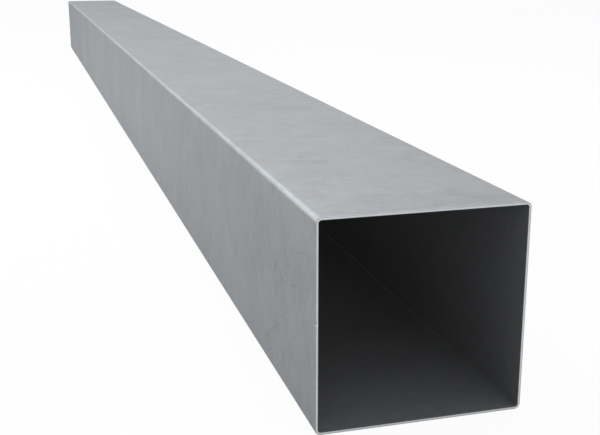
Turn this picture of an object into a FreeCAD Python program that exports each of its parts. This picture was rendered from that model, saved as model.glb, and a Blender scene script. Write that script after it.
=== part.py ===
import FreeCAD, Part
import os

# Square tube: one cut length of thin-walled steel section, bent square from strip.
#
# Millimetres. The tube lies on one of its flat sides. +Z is up, the length runs along Y, and the
# origin is the middle of the underside.

SIDE = 150.0          # outside width and height
WALL = 2.0            # wall thickness, the same all round
BEND_RADIUS = 2.0     # inside radius of the four corners
LENGTH = 2800.0       # from one cut end to the other
OUTER_BREAK = 0.6     # rounding of each cut end's outer edge
INNER_BREAK = 0.25    # rounding of each cut end's inner edge, the mouth of the bore

# The strip keeps its thickness round a bend, so the corner's outside follows its inside.
CORNER_RADIUS = BEND_RADIUS + WALL
BORE_SIDE = SIDE - 2 * WALL

# Both breaks of one end are cut into the same wall, so together they take at most this share of it.
BREAK_SHARE_OF_WALL = 0.8

NEAR = 0.01           # how close a point has to be to a plane to count as in it


def rounded_square(side, radius, y):
    """A closed wire in the plane Y = y: a square standing round the section's centre, with arcs at its corners."""
    half = side / 2
    flat = half - radius
    arc_middle = flat + radius * 0.5 ** 0.5
    centre = SIDE / 2

    def point(x, z):
        return FreeCAD.Vector(x, y, centre + z)

    edges = []
    # Each turn is one side and the corner after it, in the signs of the corner's two directions.
    for along_x, along_z, out_x, out_z in ((1, 0, 0, -1), (0, 1, 1, 0), (-1, 0, 0, 1), (0, -1, -1, 0)):
        start = point(out_x * half - along_x * flat, out_z * half - along_z * flat)
        end = point(out_x * half + along_x * flat, out_z * half + along_z * flat)
        bend = point((out_x + along_x) * arc_middle, (out_z + along_z) * arc_middle)
        following = point(out_x * flat + along_x * half, out_z * flat + along_z * half)
        edges.append(Part.LineSegment(start, end).toShape())
        edges.append(Part.Arc(end, bend, following).toShape())
    return Part.Wire(edges)


def bar(side, radius):
    """A solid bar of the rounded square, as long as the tube."""
    face = Part.Face(rounded_square(side, radius, -LENGTH / 2))
    return face.extrude(FreeCAD.Vector(0, LENGTH, 0))


def end_edges(shape, side):
    """The edges in both end planes that run round a square of this side."""
    centre = SIDE / 2
    found = []
    for edge in shape.Edges:
        box = edge.BoundBox
        in_end_plane = box.YLength < NEAR and abs(abs(box.YMin) - LENGTH / 2) < NEAR
        reach = max(abs(box.XMin), abs(box.XMax), abs(box.ZMin - centre), abs(box.ZMax - centre))
        if in_end_plane and abs(reach - side / 2) < NEAR:
            found.append(edge)
    return found


def square_tube():
    """The whole piece: the outer bar less the bore, with its cut edges broken."""
    scale = min(1.0, BREAK_SHARE_OF_WALL * WALL / (OUTER_BREAK + INNER_BREAK))
    tube = bar(SIDE, CORNER_RADIUS).cut(bar(BORE_SIDE, BEND_RADIUS))
    tube = tube.makeFillet(OUTER_BREAK * scale, end_edges(tube, SIDE))
    tube = tube.makeFillet(INNER_BREAK * scale, end_edges(tube, BORE_SIDE))
    return tube.Solids[0]


def main():
    os.makedirs("parts", exist_ok=True)
    tube = square_tube()
    tube.exportStep("parts/tube.step")
    section = tube.Volume / LENGTH
    print("tube: %.0f mm3, %.1f mm2 of section, valid %s" % (tube.Volume, section, tube.isValid()))


main()
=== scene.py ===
"""The looks of a cold-formed square steel tube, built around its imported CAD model.

Metres, +Z up, the tube along Y."""

import math

import bpy
from mathutils import Matrix, Vector


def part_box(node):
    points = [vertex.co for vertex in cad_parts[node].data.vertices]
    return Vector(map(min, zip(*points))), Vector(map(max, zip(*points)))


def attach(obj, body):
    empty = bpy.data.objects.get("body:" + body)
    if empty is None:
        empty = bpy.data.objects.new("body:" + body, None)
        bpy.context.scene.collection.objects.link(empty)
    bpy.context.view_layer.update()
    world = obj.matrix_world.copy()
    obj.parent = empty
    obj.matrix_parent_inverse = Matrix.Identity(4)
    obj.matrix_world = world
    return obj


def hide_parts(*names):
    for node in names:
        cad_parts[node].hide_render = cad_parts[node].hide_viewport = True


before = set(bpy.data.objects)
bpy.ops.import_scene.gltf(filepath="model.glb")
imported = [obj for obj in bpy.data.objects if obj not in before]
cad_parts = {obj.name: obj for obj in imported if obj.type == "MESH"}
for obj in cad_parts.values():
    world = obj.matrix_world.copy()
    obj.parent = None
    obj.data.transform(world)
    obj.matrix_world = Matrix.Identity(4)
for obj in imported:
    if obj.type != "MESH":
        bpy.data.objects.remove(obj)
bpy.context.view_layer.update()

# ---- The tube's sizes: those of the CAD part, from the frame where it states them ----

LOW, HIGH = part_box("tube")
SIDE = HIGH.x - LOW.x
LENGTH = HIGH.y - LOW.y
MIDDLE = (LOW + HIGH) / 2
WALL = 0.002
CORNER_RADIUS = 0.004     # outside; the inside follows one wall in
OUTER_BREAK = 0.0006      # rounding of the cut ends' outer edges
INNER_BREAK = 0.00025     # rounding of the cut ends' inner edges
FLAT = SIDE - 2 * CORNER_RADIUS

# A small dent in the near end's left edge, where something has knocked it.
NICK = Vector((LOW.x, LOW.y, 0.0790))
NICK_REACH = 0.0022
NICK_DEPTH = 0.0008
NICK_PUSH = Vector((1, 0.6, 0)).normalized()    # into the side, and away from the end

# ---- How finely the surface is divided ----

CORNER_STEPS = 14
SIDE_STEPS = 12
LENGTH_STEPS = 96
BREAK_STEPS = 6
NICK_STEPS = 8            # close stations along the side at the nick
NICK_MARGIN = 1.25        # how many times the nick's reach they cover, each way
NICK_CLEARANCE = 1.5      # how many times that the even stations keep away
NEXT_TO_END = (0.0004, 0.0008, 0.0014, 0.003)    # further rings on the outside, next to the break

QUARTER_TURN = math.pi / 2
QUARTERS = 4              # the section's sides, each with the bend after it
LEFT_SIDE = 3             # they run from the underside over the right side and the top
OUTER_SKIN, CUT_END, BORE = range(3)    # the tube's three material slots

# ---- Where each part lies on the bake map, in texels ----

MAP_SIZE = 1024
MAP_EDGE = 3              # left free round the map and between strips
OUTER_STRIP = 95          # height of a strip: one quarter, half the tube's length
BORE_STRIP = 49           # height of a strip: one quarter of the bore, its whole length
RIM_STRIP = 11            # height of a strip: one cut end, unrolled
BORE_ROW = MAP_EDGE + (OUTER_STRIP + MAP_EDGE) * 2 * QUARTERS
RIM_ROW = BORE_ROW + (BORE_STRIP + MAP_EDGE) * QUARTERS


# ---- Geometry ----

def side_shares(quarter):
    """Where the stations of one flat side stand, from 0 to 1 along it.

    They are evenly spaced, and closer together at the nick on the left side."""
    shares = {n / SIDE_STEPS for n in range(SIDE_STEPS)}
    if quarter == LEFT_SIDE:
        middle = (HIGH.z - CORNER_RADIUS - NICK.z) / FLAT
        reach = NICK_REACH * NICK_MARGIN / FLAT
        shares = {s for s in shares if abs(s - middle) > reach * NICK_CLEARANCE}
        shares |= {middle + reach * (2 * n / NICK_STEPS - 1) for n in range(NICK_STEPS + 1)}
    return sorted(shares)


def section_loop(depth):
    """The section's outline at a depth below the outer surface.

    Each point is its X and Z about the middle, its quarter, and its way from 0 to 1 along that."""
    radius = CORNER_RADIUS - depth
    whole = FLAT + radius * QUARTER_TURN
    loop = []
    for quarter in range(QUARTERS):
        facing = QUARTER_TURN * (quarter - 1)
        out = Vector((math.cos(facing), math.sin(facing)))
        along = Vector((-out.y, out.x))
        for share in side_shares(quarter):
            place = out * (FLAT / 2 + radius) + along * FLAT * (share - 0.5)
            loop.append((place, quarter, FLAT * share / whole))
        for n in range(CORNER_STEPS):
            turn = QUARTER_TURN * n / CORNER_STEPS
            normal = out * math.cos(turn) + along * math.sin(turn)
            place = (out + along) * FLAT / 2 + normal * radius
            loop.append((place, quarter, (FLAT + radius * turn) / whole))
    return loop


def end_rings(sign):
    """(depth, y) of the rings round one cut edge, from the outer skin over the face to the bore."""
    face = sign * LENGTH / 2
    turns = [QUARTER_TURN * n / BREAK_STEPS for n in range(BREAK_STEPS + 1)]
    rings = []
    for turn in turns:
        back = OUTER_BREAK * (1 - math.sin(turn))
        rings.append((OUTER_BREAK * (1 - math.cos(turn)), face - sign * back))
    for turn in turns:
        back = INNER_BREAK * (1 - math.cos(turn))
        rings.append((WALL - INNER_BREAK * (1 - math.sin(turn)), face - sign * back))
    return rings


def long_rings(start, end, depth, further=()):
    """Rings evenly spaced from one place along the tube to another, and further ones near both."""
    way = 1 if end > start else -1
    places = [start + (end - start) * n / LENGTH_STEPS for n in range(LENGTH_STEPS + 1)]
    places += [start + way * d for d in further] + [end - way * d for d in further]
    return [(depth, y) for y in sorted(places, reverse=way < 0)]


def dented(point):
    """The point, pushed in where it lies in the nick."""
    away = (point - NICK).length / NICK_REACH
    if away >= 1:
        return point
    return point + NICK_PUSH * NICK_DEPTH * (1 - away * away) ** 2


def texels(u, row, way, height):
    """A place on the bake map: u along the strip that starts at a row, and way across it."""
    return ((MAP_EDGE + u * (MAP_SIZE - 2 * MAP_EDGE)) / MAP_SIZE, (row + way * height) / MAP_SIZE)


def outer_place(quarter, way, share, far_half):
    """Where a corner of a face lies on the map.

    quarter and way are its station, share is how far along the part its ring is, and far_half says
    whether the face lies in the part's far half."""
    row = MAP_EDGE + (OUTER_STRIP + MAP_EDGE) * (2 * quarter + far_half)
    return texels(2 * share - far_half, row, way, OUTER_STRIP)


def bore_place(quarter, way, share, far_half):
    """The same for the bore, which isn't cut in two halves."""
    return texels(share, BORE_ROW + (BORE_STRIP + MAP_EDGE) * quarter, way, BORE_STRIP)


def rim_place(which):
    """The same for the rim of one end, 0 or 1, as a function."""
    row = RIM_ROW + (RIM_STRIP + MAP_EDGE) * which
    return lambda quarter, way, share, far_half: texels(
        (quarter + way) / QUARTERS, row, share, RIM_STRIP)


def tube_mesh():
    """One closed skin, from the bore round the near cut end, along the outside and back again."""
    near, far = end_rings(-1)[::-1], end_rings(1)
    outside = long_rings(near[-1][1], far[0][1], 0.0, NEXT_TO_END)
    inside = long_rings(far[-1][1], near[0][1], WALL)
    end_materials = [OUTER_SKIN] * BREAK_STEPS + [CUT_END] + [BORE] * BREAK_STEPS
    parts = (
        (near, end_materials[::-1], rim_place(0)),
        (outside, [OUTER_SKIN] * len(outside), outer_place),
        (far, end_materials, rim_place(1)),
        (inside, [BORE] * len(inside), bore_place),
    )
    # Each part's last ring is the next one's first.
    rings = [ring for part, _, _ in parts for ring in part[:-1]]
    stations = [(quarter, way) for _, quarter, way in section_loop(0.0)]
    count = len(stations)
    vertices = []
    for depth, y in rings:
        for place, _, _ in section_loop(depth):
            vertices.append(dented(MIDDLE + Vector((place.x, y, place.y))))

    faces, materials, map_places = [], [], []
    first = 0
    for part, band_materials, map_place in parts:
        ways_along = [0.0]
        for (depth, y), (next_depth, next_y) in zip(part, part[1:]):
            ways_along.append(ways_along[-1] + math.hypot(next_depth - depth, next_y - y))
        shares = [w / ways_along[-1] for w in ways_along]
        for band in range(len(part) - 1):
            this = (first + band) * count
            following = (first + band + 1) % len(rings) * count
            far_half = shares[band] + shares[band + 1] > 1
            for s in range(count):
                t = (s + 1) % count
                faces.append((this + s, this + t, following + t, following + s))
                materials.append(band_materials[band])
                quarter, way = stations[s]
                next_way = stations[t][1] or 1.0    # a quarter ends where the next one starts
                corners = ((way, band), (next_way, band), (next_way, band + 1), (way, band + 1))
                for corner_way, ring in corners:
                    map_places.extend(map_place(quarter, corner_way, shares[ring], far_half))
        first += len(part) - 1

    mesh = bpy.data.meshes.new("square_tube")
    mesh.from_pydata(vertices, [], faces)
    mesh.polygons.foreach_set("material_index", materials)
    mesh.polygons.foreach_set("use_smooth", [True] * len(faces))
    mesh.uv_layers.new(name="OFBake").data.foreach_set("uv", map_places)
    mesh.update()
    return mesh


# ---- Materials ----

# A noise's values lie mostly between these two.
NOISE_LOW = 0.3
NOISE_HIGH = 0.7

LINE_CORE = 0.2           # a drawn line is at full strength over this share of its reach


def connect(tree, value, socket):
    """Gives a socket another node's output, or a number or vector of its own."""
    if hasattr(value, "is_output"):
        tree.links.new(value, socket)
    else:
        socket.default_value = value


class Nodes:
    """A material's node tree, with one short call for each kind of node that is used here."""

    def __init__(self, name):
        self.material = bpy.data.materials.new(name)
        self.material.use_nodes = True
        self.tree = self.material.node_tree
        self.shader = self.tree.nodes["Principled BSDF"]
        self.place = self.tree.nodes.new("ShaderNodeTexCoord").outputs["Object"]

    def link(self, value, socket):
        connect(self.tree, value, socket)

    def noise(self, scale, detail=2.0, roughness=0.5, distortion=0.0, place=None):
        node = self.tree.nodes.new("ShaderNodeTexNoise")
        self.link(place or self.place, node.inputs["Vector"])
        node.inputs["Scale"].default_value = scale
        node.inputs["Detail"].default_value = detail
        node.inputs["Roughness"].default_value = roughness
        node.inputs["Distortion"].default_value = distortion
        return node.outputs["Fac"]

    def stretched(self, scale, turn=(0, 0, 0)):
        node = self.tree.nodes.new("ShaderNodeMapping")
        self.link(self.place, node.inputs["Vector"])
        node.inputs["Scale"].default_value = scale
        node.inputs["Rotation"].default_value = turn
        return node.outputs["Vector"]

    def math(self, operation, a, b=0.0, clamp=False):
        node = self.tree.nodes.new("ShaderNodeMath")
        node.operation = operation
        node.use_clamp = clamp
        self.link(a, node.inputs[0])
        self.link(b, node.inputs[1])
        return node.outputs[0]

    def vector(self, operation, a, b, output="Vector"):
        node = self.tree.nodes.new("ShaderNodeVectorMath")
        node.operation = operation
        self.link(a, node.inputs[0])
        self.link(b, node.inputs["Scale" if operation == "SCALE" else 1])
        return node.outputs[output]

    def times(self, a, b):
        return self.math("MULTIPLY", a, b)

    def total(self, *values):
        result = values[0]
        for value in values[1:]:
            result = self.math("ADD", result, value)
        return result

    def largest(self, *values):
        result = values[0]
        for value in values[1:]:
            result = self.math("MAXIMUM", result, value)
        return result

    def span(self, value, low, high, to_low, to_high, smooth=False):
        node = self.tree.nodes.new("ShaderNodeMapRange")
        node.interpolation_type = "SMOOTHSTEP" if smooth else "LINEAR"
        self.link(value, node.inputs["Value"])
        names = ("From Min", "From Max", "To Min", "To Max")
        for name, number in zip(names, (low, high, to_low, to_high)):
            self.link(number, node.inputs[name])
        return node.outputs["Result"]

    def swing(self, noise, middle, amount):
        """A noise, turned into a value that swings by an amount either way about a middle."""
        return self.span(noise, NOISE_LOW, NOISE_HIGH, middle - amount, middle + amount)

    def near_line(self, start, end, reach):
        """1 on a straight line and close to it, 0 beyond its reach."""
        start, run = Vector(start), Vector(end) - Vector(start)
        here = self.vector("SUBTRACT", self.place, start)
        share = self.vector("DOT_PRODUCT", here, run / run.length_squared, "Value")
        on_line = self.vector("SCALE", run, self.math("MULTIPLY", share, 1.0, clamp=True))
        away = self.vector("DISTANCE", here, on_line, "Value")
        return self.span(away, LINE_CORE * reach, reach, 1, 0, smooth=True)

    def colour(self, colour, factor):
        """The shader's colour, made lighter or darker by a factor."""
        self.link(self.vector("SCALE", colour, factor), self.shader.inputs["Base Color"])

    def roughness(self, value):
        self.link(value, self.shader.inputs["Roughness"])

    def bump(self, height, distance):
        node = self.tree.nodes.new("ShaderNodeBump")
        node.inputs["Distance"].default_value = distance
        self.link(height, node.inputs["Height"])
        self.link(node.outputs["Normal"], self.shader.inputs["Normal"])

    def set(self, **numbers):
        for name, number in numbers.items():
            self.shader.inputs[name.replace("_", " ")].default_value = number


STEEL = (0.311, 0.328, 0.343)
CUT_STEEL = (0.58, 0.61, 0.63)
# The bore's dark grey is painted shade: the shade inside the tube, put into its colour.
BORE_PAINTED_SHADE_GREY = (0.114, 0.118, 0.124)
DULL_AT_GRAZING = (0.55, 0.55, 0.55, 1)    # worn steel doesn't turn white at a low angle
BARE_METAL = 0.9          # how metallic the two bare steels are
BORE_METAL = 0.2         # and the bore's dark grey

# How strongly each kind of mark on the outer steel shows, and how much darker the strongest is.
PIT_STRENGTH = 0.8
HAIR_STRENGTH = 0.5
BRUISE_STRENGTH = 0.6
SCRATCH_STRENGTH = 1.0
MARK_DARKER = 0.14

# In the bore's bends, painted shade makes the grey darker, as far as this from the sharp corner of
# its walls.
BEND_SHADE_REACH = 0.0026
BEND_PAINTED_SHADE = 0.25

# The most that each surface's bump stands up or in.
OUTER_RELIEF = 0.00012
FINE_RELIEF = 0.05        # the fine tones' share of it
CUT_RELIEF = 0.00002
BORE_RELIEF = 0.00004

# Marks from handling near the near end: (y, z) on the left side, (x, y) on top.
LEFT_BRUISES = (
    ((-1.357, 0.1145), (-1.370, 0.1176)),
    ((-1.373, 0.1187), (-1.379, 0.1209)),
    ((-1.338, 0.0850), (-1.355, 0.0895)),
    ((-1.343, 0.0746), (-1.342, 0.0700)),
    ((-1.334, 0.0680), (-1.341, 0.0684)),
    ((-1.314, 0.0825), (-1.320, 0.0813)),
    ((-1.296, 0.0670), (-1.305, 0.0650)),
    ((-1.322, 0.0540), (-1.331, 0.0560)),
)
LEFT_SCRATCHES = (
    ((-1.304, 0.045), (-1.281, 0.029)),
    ((-1.279, 0.029), (-1.262, 0.017)),
    ((-1.162, 0.044), (-1.148, 0.034)),
    ((-1.146, 0.030), (-1.133, 0.022)),
)
TOP_SCRATCHES = (
    ((-0.034, -1.275), (-0.0225, -1.2869)),
    ((-0.0225, -1.2869), (-0.0145, -1.3000)),
    ((-0.0655, -1.3610), (-0.0568, -1.3574)),
    ((-0.0568, -1.3574), (-0.0475, -1.3560)),
    ((-0.0712, -1.3430), (-0.0645, -1.3500)),
)


def on_left(y, z):
    return (LOW.x, y, z)


def on_top(x, y):
    return (x, y, HIGH.z)


# The face that each kind lies on, its lines, their reach to each side, and their strength.
HANDLING_MARKS = (
    (on_left, LEFT_BRUISES, 0.0017, BRUISE_STRENGTH),
    (on_left, LEFT_SCRATCHES, 0.0013, SCRATCH_STRENGTH),
    (on_top, TOP_SCRATCHES, 0.0012, SCRATCH_STRENGTH),
)


def handling_marks(n, grain):
    """The bruises and scratches, broken up a little by the grain."""
    kinds = []
    for face, lines, reach, strength in HANDLING_MARKS:
        near = n.largest(*[n.near_line(face(*a), face(*b), reach) for a, b in lines])
        kinds.append(n.times(near, strength))
    return n.times(n.largest(*kinds), n.span(grain, 0.35, 0.6, 0.4, 1))


def outer_steel():
    """Plain rolled steel: soft clouds, a fine grain, scattered pits and a few scratches."""
    n = Nodes("outer_steel")
    across = n.stretched((1.0, 1.5, 1.0))    # the finer tones run a little across the tube
    along = n.stretched((1.0, 0.5, 1.0))     # the finest run a little along it
    clouds = n.noise(9.0, detail=6.0, roughness=0.6)
    patches = n.noise(34.0, detail=5.0, roughness=0.62, distortion=0.8, place=across)
    fine = n.noise(135.0, detail=4.0, roughness=0.65, place=across)
    grain = n.noise(480.0, place=along)

    worn = n.span(n.noise(11.0), 0.45, 0.62, 0.1, 1, smooth=True)
    pits = n.times(n.span(n.noise(150.0), 0.60, 0.74, 0, 1, smooth=True), worn)
    contour = n.math("ABSOLUTE", n.math("SUBTRACT", n.noise(8.0, detail=1.0), 0.5))
    here_and_there = n.span(n.noise(30.0), 0.56, 0.62, 0, 1)
    hairs = n.times(n.span(contour, 0.001, 0.005, 1, 0), here_and_there)
    scratches = handling_marks(n, grain)
    marks = n.largest(n.times(pits, PIT_STRENGTH), n.times(hairs, HAIR_STRENGTH), scratches)

    tone = n.total(
        n.swing(clouds, 1.0, 0.07),
        n.swing(patches, 0.0, 0.07),
        n.swing(fine, 0.0, 0.045),
        n.swing(grain, 0.0, 0.045),
        n.times(marks, -MARK_DARKER),
    )
    n.colour(STEEL, tone)
    n.roughness(n.swing(clouds, 0.435, -0.025))
    n.set(Metallic=BARE_METAL, Specular_Tint=DULL_AT_GRAZING)
    n.bump(n.total(n.times(fine, FINE_RELIEF), n.times(marks, -1.0)), OUTER_RELIEF)
    return n.material


def cut_steel():
    """The sawn ends: brighter metal with fine saw lines across them."""
    n = Nodes("cut_steel")
    sawn = n.stretched((60.0, 60.0, 1600.0), turn=(0, 0.2, 0))
    lines = n.noise(1.0, detail=3.0, roughness=0.6, place=sawn)
    clouds = n.noise(70.0, detail=3.0, roughness=0.6)
    n.colour(CUT_STEEL, n.total(n.swing(lines, 1.0, 0.05), n.swing(clouds, 0.0, 0.06)))
    n.roughness(n.swing(lines, 0.39, -0.03))
    n.set(Metallic=BARE_METAL, Specular_Tint=DULL_AT_GRAZING)
    n.bump(lines, CUT_RELIEF)
    return n.material


def bore_painted_shade():
    """The inside: a dark grey that paints the bore's shade into its colour, a little mottled, with
    painted shade darkest in the bends.
    """
    n = Nodes("bore_painted_shade")
    clouds = n.noise(9.0, detail=5.0, roughness=0.6)
    mottle = n.noise(160.0, detail=4.0, roughness=0.65)
    corners = [(x, z) for x in (LOW.x + WALL, HIGH.x - WALL) for z in (LOW.z + WALL, HIGH.z - WALL)]
    # Painted shade along the bore's four bends
    lines = [n.near_line((x, LOW.y, z), (x, HIGH.y, z), BEND_SHADE_REACH) for x, z in corners]
    tone = n.total(
        n.swing(clouds, 1.0, 0.08),
        n.swing(mottle, 0.0, 0.09),
        n.times(n.largest(*lines), -BEND_PAINTED_SHADE),
    )
    n.colour(BORE_PAINTED_SHADE_GREY, tone)
    n.roughness(n.swing(clouds, 0.54, -0.04))
    n.set(Metallic=BORE_METAL)
    n.bump(mottle, BORE_RELIEF)
    return n.material


# ---- The tube ----

mesh = tube_mesh()
tube = bpy.data.objects.new("square_tube", mesh)
bpy.context.scene.collection.objects.link(tube)
for material in (outer_steel(), cut_steel(), bore_painted_shade()):    # in the order of the slots
    mesh.materials.append(material)
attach(tube, "root")
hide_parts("tube")


# ---- Floor, light and camera ----

# Three values each: for a ray from the camera, for one off or through a glossy surface, and for
# any other. The floor's are its share of white glow over its paint; the world's, its brightness.
FLOOR_GLOW = (0.95, 0.42, 0.0)
WORLD_LIGHT = (1.0, 1.0, 0.6)
WHITE = (1, 1, 1, 1)
FLOOR_PAINT = (0.62, 0.62, 0.62, 1)
FLOOR_REACH = 60.0        # from its middle to each side

# Each lamp's name, place, the point it faces, its width, length and watts.
LAMPS = (
    ("over_near", (-0.1, -0.4, 1.5), (0, -0.4, 0.1), 1.6, 1.8, 18.5),
    ("over_far", (0.0, 1.2, 1.8), (0, 1.2, 0.1), 2.0, 1.8, 8),
    ("over_left", (-0.9, 0.0, 1.8), (0, 0, 0.1), 0.8, 3.0, 4.5),
    ("over_end", (0.5, -1.9, 1.9), (0, -1.4, 0.1), 0.8, 0.8, 4),
    ("behind_left", (-1.3, 3.4, 1.9), (0, 0.2, 0.1), 1.6, 1.6, 21.5),
    ("left_strip", (-1.6, 0.2, 0.7), (0, 0.2, 0.1), 0.5, 3.0, 20),
    ("front", (0.0, -4.5, 0.9), (0, -0.4, 0.1), 1.6, 1.6, 10),
    ("front_left", (-1.8, -4.2, 0.8), (0, -0.4, 0.1), 1.2, 1.2, 2.5),
    ("front_high", (-0.3, -2.6, 1.9), (0, -0.4, 0.1), 1.2, 1.2, 6),
    ("in_bore", (-0.05, 0.0, 0.125), (0, 0, 0.075), 0.06, 2.7, 0.15),
)

# The camera stands before the near end, above it and to its left, and looks down along the tube.
CAMERA_PLACE = Vector((LOW.x - 0.172, LOW.y - 0.574, 0.312))
CAMERA_HEADING = math.radians(15.744)     # from the tube's own direction towards +X
CAMERA_DIP = math.radians(15.111)
CAMERA_ROLL = math.radians(0.0825)
CAMERA_LENS = 59.67
CAMERA_SENSOR = 36.0
CAMERA_CLIP = (0.01, 300.0)


def by_ray(tree, to_camera, off_gloss, otherwise):
    """A value for rays from the camera, one for rays off or through gloss, and one for others."""
    path = tree.nodes.new("ShaderNodeLightPath")
    value = otherwise
    rays = {"Is Transmission Ray": off_gloss, "Is Glossy Ray": off_gloss, "Is Camera Ray": to_camera}
    for name, this in rays.items():
        choice = tree.nodes.new("ShaderNodeMix")
        connect(tree, path.outputs[name], choice.inputs["Factor"])
        connect(tree, value, choice.inputs["A"])
        connect(tree, this, choice.inputs["B"])
        value = choice.outputs["Result"]
    return value


def make_floor():
    """A pale floor that looks nearly white, with a faint shadow under the tube."""
    mesh = bpy.data.meshes.new("floor")
    reach = FLOOR_REACH
    corners = [(-reach, -reach, 0), (reach, -reach, 0), (reach, reach, 0), (-reach, reach, 0)]
    mesh.from_pydata(corners, [], [(0, 1, 2, 3)])
    floor = bpy.data.objects.new("floor", mesh)
    bpy.context.scene.collection.objects.link(floor)
    material = bpy.data.materials.new("floor")
    material.use_nodes = True
    tree = material.node_tree
    tree.nodes.clear()
    out = tree.nodes.new("ShaderNodeOutputMaterial")
    paint = tree.nodes.new("ShaderNodeBsdfDiffuse")
    paint.inputs["Color"].default_value = FLOOR_PAINT
    glow = tree.nodes.new("ShaderNodeEmission")
    glow.inputs["Color"].default_value = WHITE
    mix = tree.nodes.new("ShaderNodeMixShader")
    tree.links.new(by_ray(tree, *FLOOR_GLOW), mix.inputs["Fac"])
    tree.links.new(paint.outputs[0], mix.inputs[1])
    tree.links.new(glow.outputs[0], mix.inputs[2])
    tree.links.new(mix.outputs[0], out.inputs["Surface"])
    mesh.materials.append(material)


def make_world():
    world = bpy.data.worlds.new("studio")
    bpy.context.scene.world = world
    world.use_nodes = True
    tree = world.node_tree
    background = tree.nodes["Background"]
    background.inputs["Color"].default_value = WHITE
    tree.links.new(by_ray(tree, *WORLD_LIGHT), background.inputs["Strength"])


def soft_lamp(name, place, target, width, length, watts):
    """A rectangular lamp that faces its target, its length as nearly along Y as that allows."""
    data = bpy.data.lights.new(name, "AREA")
    data.shape = "RECTANGLE"
    data.size = width
    data.size_y = length
    data.energy = watts
    lamp = bpy.data.objects.new(name, data)
    back = (Vector(place) - Vector(target)).normalized()
    along = (Vector((0, 1, 0)) - back * back.y).normalized()
    axes = Matrix((along.cross(back), along, back)).transposed()
    lamp.matrix_world = Matrix.Translation(place) @ axes.to_4x4()
    lamp.visible_camera = False
    bpy.context.scene.collection.objects.link(lamp)


def make_camera():
    data = bpy.data.cameras.new("camera")
    data.lens = CAMERA_LENS
    data.sensor_width = CAMERA_SENSOR
    data.clip_start, data.clip_end = CAMERA_CLIP
    camera = bpy.data.objects.new("camera", data)
    turn = (
        Matrix.Rotation(-CAMERA_HEADING, 4, "Z")
        @ Matrix.Rotation(QUARTER_TURN - CAMERA_DIP, 4, "X")
        @ Matrix.Rotation(-CAMERA_ROLL, 4, "Z")
    )
    camera.matrix_world = Matrix.Translation(CAMERA_PLACE) @ turn
    bpy.context.scene.collection.objects.link(camera)
    bpy.context.scene.camera = camera


make_floor()
make_world()
for lamp in LAMPS:
    soft_lamp(*lamp)
make_camera()
bpy.context.scene.view_settings.view_transform = "Standard"
